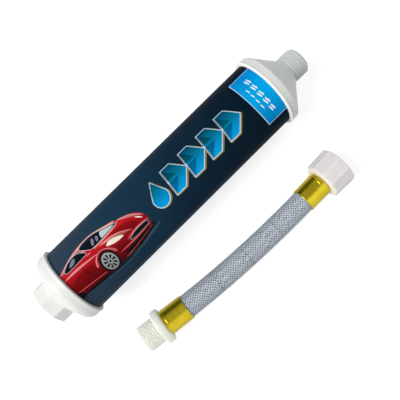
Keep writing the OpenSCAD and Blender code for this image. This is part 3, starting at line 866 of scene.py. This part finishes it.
def hose_frame(s):
    """Centre, direction and side of the hose at a length s in mm from the male ferrule's inner end."""
    up = Vector((0, 0, 1))
    if s <= 0:
        centre = HINGES[0] + HEADINGS[0] * (s - LINK / 2) * MM
        return centre, HEADINGS[0], up.cross(HEADINGS[0])
    if s >= 4 * LINK:
        centre = HINGES[3] + HEADINGS[4] * (s - 3.5 * LINK) * MM
        return centre, HEADINGS[4], up.cross(HEADINGS[4])
    k = min(3, int(s / LINK))
    t = s / LINK - k
    a, b, hinge = HEADINGS[k], HEADINGS[k + 1], HINGES[k]
    p0, p2 = hinge - a * LINK / 2 * MM, hinge + b * LINK / 2 * MM
    centre = p0 * (1 - t) ** 2 + hinge * 2 * t * (1 - t) + p2 * t * t
    heading = (a * (1 - t) + b * t).normalized()
    return centre, heading, up.cross(heading)


def hose_point(s, r, angle):
    centre, _, side = hose_frame(s)
    return centre + (side * math.cos(angle) + Vector((0, 0, 1)) * math.sin(angle)) * r * MM


SLEEVE_DEPTH = FERRULE_LEN - HOSE_INSET
SECTIONS = [(-SLEEVE_DEPTH, LINK), (LINK, 2 * LINK),
            (2 * LINK, 3 * LINK), (3 * LINK, 4 * LINK + SLEEVE_DEPTH)]


def hose_pipe(name, k, r_in, r_out, mat, step=1.6, segments=72):
    s0, s1 = SECTIONS[k]
    count = math.ceil((s1 - s0) / step)
    rows = [(s0 + (s1 - s0) * i / count, r_out) for i in range(count + 1)]
    rows += [(s, r_in) for s, _ in reversed(rows)]
    verts = [hose_point(s, r, TAU * j / segments) for s, r in rows for j in range(segments)]
    return add_mesh(name, verts, torus_grid(len(rows), segments), [mat], sharp=50)


STRANDS = 22
STRAND_R = 10.72
STRAND_W, STRAND_T = 1.42, 0.34
WEAVE = 0.2
BRAID_SLOPE = 1 / STRAND_R


def strand_section(points, width, thickness):
    """Flattened oval cross-section of a strand."""
    return [(width / 2 * math.cos(a), thickness / 2 * math.sin(a))
            for a in (TAU * i / points for i in range(points))]


def strand(verts, faces, slots, s0, s1, index, way, sides=6, step=0.8):
    """One helical strand between s0 and s1, over two and under two of the others."""
    oval = strand_section(sides, STRAND_W, STRAND_T)
    count = math.ceil((s1 - s0) / step)
    base = len(verts)
    rises = []
    for i in range(count + 1):
        s = s0 + (s1 - s0) * i / count
        angle = TAU * index / STRANDS + way * BRAID_SLOPE * s
        beat = STRANDS * BRAID_SLOPE * s / 2
        phase = beat + math.pi * index - math.pi / 4 if way > 0 else math.pi * index - beat - math.pi / 4
        rise = way * WEAVE * max(-1.0, min(1.0, 1.5 * math.cos(phase)))
        rises.append(rise)
        for across, out in oval:
            ds, dr = across * math.cos(math.pi / 4), across * math.sin(math.pi / 4)
            at = min(s1, max(s0, s - way * ds)) if 0 < i < count else s
            verts.append(hose_point(at, STRAND_R + rise + out, angle + dr / STRAND_R))
    for i in range(count):
        for j in range(sides):
            a, b = base + i * sides + j, base + i * sides + (j + 1) % sides
            faces.append((a, b, b + sides, a + sides))
            # Segments running under the crossing strands take the darker yarn: painted shade.
            slots.append(0 if rises[i] + rises[i + 1] > 0 else 1)
    faces.append(tuple(base + j for j in reversed(range(sides))))
    faces.append(tuple(base + count * sides + j for j in range(sides)))
    slots += [0, 0]


def hose_braid(name, k):
    verts, faces, slots = [], [], []
    for way in (1, -1):
        for index in range(STRANDS):
            strand(verts, faces, slots, *SECTIONS[k], index, way)
    return add_mesh(name, verts, faces, [M["yarn"], M["yarn_under_shaded"]], slots, sharp=60)


def bend_piece(obj):
    """Bakes the piece's placement into its mesh. Each piece lies over one hinge, from the middle of one link to
    the middle of the next.
    """
    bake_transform(obj)


def build_hose():
    for k in range(4):
        liner = hose_pipe(f"hose_inner_{k + 1}", k, LINER_IN_R, LINER_OUT_R, M["core"])
        braid = hose_braid(f"hose_weave_{k + 1}", k)
        jacket = hose_pipe(f"hose_cover_{k + 1}", k, JACKET_IN_R, HOSE_R, M["jacket"])
        ends = [k + 1, 5] if k == 3 else [k + 1]
        for obj, slot in ((liner, "liner"), (braid, "braid"), (jacket, "jacket")):
            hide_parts(*[f"hose_{slot}_{i}" for i in ends])
            bend_piece(obj)


def ferrule_profile():
    """Thin crimped cup: open end at -FERRULE_LEN, rolled bead and closed shoulder near 0."""
    r = FERRULE_R
    outer = [(-FERRULE_LEN, HOSE_R + 0.06), (-FERRULE_LEN, r - 0.35), (-FERRULE_LEN + 0.12, r - 0.12),
             (-FERRULE_LEN + 0.4, r), (-FERRULE_LEN + 1.0, r)]
    outer += [(-16.0, r - 0.02), (-10.0, r), (-4.8, r)]
    outer += [(BEAD_X + BEAD_HALF * math.cos(a), r + BEAD_RISE * math.sin(a))
              for a in (math.pi * (1 - i / 8) for i in range(9))]
    outer += [(-1.6, r), (-1.0, r - 0.03)] + arc(-0.9, r - 0.9, 0.87, 90, 0, 6)
    inner = [(-0.02, NECK_R + 0.05), (-1.0, NECK_R + 0.05), (-1.0, HOSE_R + 0.06)]
    return outer + inner


def stem_profile(bore_from):
    """Barbed stem, from the neck inward, then back along the bore."""
    root_r, depth = STEM_R - BARB_DEPTH, FERRULE_LEN - 3
    out = [(END_GAP - 0.2, NECK_R), (-HOSE_INSET + 0.02, NECK_R), (-HOSE_INSET + 0.02, root_r)]
    for i in reversed(range(4)):
        x = -depth + 1 + i * BARB_PITCH
        out += [(x + 2.61, root_r), (x + 2.6, STEM_R), (x, root_r)]
    out += [(-depth, root_r), (-depth, STEM_BORE_R), (bore_from, STEM_BORE_R)]
    return out


def build_male_fitting():
    collar_x = END_GAP - 0.2
    thread_x = collar_x + COLLAR_LEN
    end_x = thread_x + MALE_LEN
    edge = COLLAR_ROUND
    profile = arc(collar_x + edge, COLLAR_R - edge, edge, 180, 90, 6)
    profile += arc(collar_x + COLLAR_LEN - edge, COLLAR_R - edge, edge, 90, 0, 6)
    profile += [(thread_x, 13.3), (thread_x + 0.3, 12.9), (thread_x + 0.9, RELIEF_R)]
    profile += [(end_x - 17.1, RELIEF_R), (end_x - 16.7, MALE_ROOT + 0.2)]
    profile += thread(end_x - 16.5, end_x - 0.8, MALE_ROOT, MALE_CREST, runin=1.0, runout=1.1)
    profile += [(end_x - 0.45, MALE_ROOT - 0.1), (end_x - 0.1, MALE_ROOT - 0.5), (end_x, MALE_ROOT - 1.0)]
    profile += [(end_x, 9.3), (end_x - 0.5, 8.6), (end_x - 1.2, MALE_BORE_R), (collar_x + 7, MALE_BORE_R)]
    profile += list(reversed(stem_profile(collar_x + 4)))
    fitting = turned("male_fitting_body", profile, [M["male_nylon"]], MALE_PLACE)
    finish_piece(fitting, "hose_male_end", "fitting", "male_fitting")


def build_ferrules():
    for name, place, body, node in (("male_sleeve", MALE_PLACE, "hose_male_end", "male_ferrule"),
                                    ("nut_sleeve", NUT_PLACE, "hose_nut_end", "nut_ferrule")):
        obj = turned(name, ferrule_profile(), [M["gold"]], place)
        finish_piece(obj, body, "gold_sleeve", node)


def build_nut():
    """Ten-sided swivel nut with softened edges and a helical female thread."""
    def side(offset):
        def radius(x, angle):
            flat_r = NUT_FLAT_R - offset - NUT_DRAFT * (1 - x / NUT_LEN)
            return polygon_radius(angle, NUT_SIDES, flat_r, 0.0, NUT_ROUND)
        return radius
    back, front = NUT_BACK, NUT_FRONT
    profile = [(back - back * math.cos(a), side(back * (1 - math.sin(a))))
               for a in (math.pi / 2 * i / 6 for i in range(7))]
    profile += [(5, side(0)), (12, side(0)), (18, side(0))]
    profile += [(NUT_LEN - front + front * math.sin(a), side(front * (1 - math.cos(a))))
                for a in (math.pi / 2 * i / 5 for i in range(6))]
    profile += [(NUT_LEN, FEMALE_ROOT + 0.5), (NUT_LEN - 0.5, FEMALE_ROOT)]
    profile += thread(NUT_LEN - 0.9, 10.4, FEMALE_ROOT, FEMALE_CREST)
    profile += [(10.0, FEMALE_ROOT), (4.0, FEMALE_ROOT), (4.0, NECK_R + 0.05), (0.3, NECK_R + 0.05),
                (0.0, NECK_R + 0.35)]
    place = NUT_PLACE @ Matrix.Translation((END_GAP, 0, 0))
    nut = turned("swivel_nut_body", profile, [M["nut"]], place, polygon_angles(NUT_SIDES, 0.0))
    finish_piece(nut, "nut", "fitting", "swivel_nut")


# ---------------------------------------------------------------- carried-over nodes
def dress_nodes():
    looks = {
        "housing_tube": "tube", "inlet_washer": "rubber", "inlet_strainer": "steel",
        "inlet_diffuser": "plate", "inlet_pad": "felt", "granule_bed": "copper", "middle_pad": "felt",
        "carbon_bed": "carbon", "outlet_pad": "felt", "outlet_grid": "plate",
        "nut_tailpiece": "nut_nylon", "nut_washer": "rubber"}
    for node, look in looks.items():
        obj = frame["nodes"][node]
        for slot in obj.material_slots:
            slot.material = M[look]


# ---------------------------------------------------------------- stage
FLOOR_HALF = 3.0
SUN_STRENGTH, SUN_SPREAD, SUN_WAY = 2.3, math.radians(30), (0.60, -0.30, -0.72)
FILL_OFFSET, FILL_SIZE, FILL_POWER = (0.5, -0.6, 0.9), 1.0, 0.8
SURROUND_LIGHT, SURROUND_BRIGHT, SURROUND_DARK = 0.42, 1.05, 0.4
SURROUND_EDGE = (-0.3, -0.14)
CAMERA_AT, CAMERA_UP = (0.1388, -0.0280, 0.4588), (0.7053, 0.7089, 0)
CAMERA_TILT, LENS, SENSOR = math.radians(2.9), 45.6, 36


def build_stage():
    z = cad_box[0].z
    half = FLOOR_HALF
    corners = [(-half, -half, z), (half, -half, z), (half, half, z), (-half, half, z)]
    mesh = bpy.data.meshes.new("floor")
    mesh.from_pydata(corners, [], [(0, 1, 2, 3)])
    mesh.materials.append(floor_look("floor"))
    floor = bpy.data.objects.new("floor", mesh)
    bpy.context.scene.collection.objects.link(floor)


def area_light(name, at, target, size, power):
    data = bpy.data.lights.new(name, "AREA")
    data.shape, data.size, data.energy = "DISK", size, power
    light = bpy.data.objects.new(name, data)
    light.location = at
    light.rotation_mode = "QUATERNION"
    light.rotation_quaternion = (Vector(target) - Vector(at)).to_track_quat("-Z", "Y")
    bpy.context.scene.collection.objects.link(light)


def build_lights():
    middle = (cad_box[0] + cad_box[1]) / 2
    data = bpy.data.lights.new("key", "SUN")
    data.energy, data.angle = SUN_STRENGTH, SUN_SPREAD
    key = bpy.data.objects.new("key", data)
    key.rotation_mode = "QUATERNION"
    key.rotation_quaternion = Vector(SUN_WAY).to_track_quat("-Z", "Y")
    bpy.context.scene.collection.objects.link(key)
    area_light("fill", middle + Vector(FILL_OFFSET), middle, FILL_SIZE, FILL_POWER)
    world = bpy.data.worlds.new("world")
    world.use_nodes = True
    bpy.context.scene.world = world
    bpy.context.scene.view_settings.view_transform = "Standard"
    build_reflections(world.node_tree)


def build_reflections(tree):
    """Even white surround, which reflections see as bright on the hose's side and dark on the other."""
    def add(kind, **props):
        node = tree.nodes.new(kind)
        for key, value in props.items():
            setattr(node, key, value)
        return node
    link = tree.links.new
    back = tree.nodes["Background"]
    back.inputs["Color"].default_value = (1, 1, 1, 1)
    split = add("ShaderNodeSeparateXYZ")
    link(add("ShaderNodeTexCoord").outputs["Generated"], split.inputs[0])
    sides = add("ShaderNodeMapRange", interpolation_type="SMOOTHSTEP")
    link(split.outputs["Y"], sides.inputs["Value"])
    for socket, value in (("From Min", SURROUND_EDGE[0]), ("From Max", SURROUND_EDGE[1]),
                          ("To Min", SURROUND_BRIGHT), ("To Max", SURROUND_DARK)):
        sides.inputs[socket].default_value = value
    pick = add("ShaderNodeMix", data_type="FLOAT")
    link(add("ShaderNodeLightPath").outputs["Is Glossy Ray"], pick.inputs[0])
    pick.inputs[2].default_value = SURROUND_LIGHT
    link(sides.outputs["Result"], pick.inputs[3])
    link(pick.outputs[0], back.inputs["Strength"])


def build_camera():
    """Above the filter, tilted slightly, turned so that the filter runs to the upper right."""
    data = bpy.data.cameras.new("camera")
    data.lens, data.sensor_width = LENS, SENSOR
    cam = bpy.data.objects.new("camera", data)
    back = -Vector((math.sin(CAMERA_TILT), 0, -math.cos(CAMERA_TILT)))
    up = Vector(CAMERA_UP)
    right = up.cross(back).normalized()
    up = back.cross(right)
    turn = Matrix((right, up, back)).transposed()
    cam.matrix_world = Matrix.Translation(Vector(CAMERA_AT)) @ turn.to_4x4()
    bpy.context.scene.collection.objects.link(cam)
    bpy.context.scene.camera = cam


build_inlet_cap()
build_outlet_cap()
build_label()
build_flow_marks()
build_panel()
build_car()
build_hose()
build_male_fitting()
build_ferrules()
build_nut()
dress_nodes()
build_stage()
build_lights()
build_camera()

bpy.context.view_layer.update()
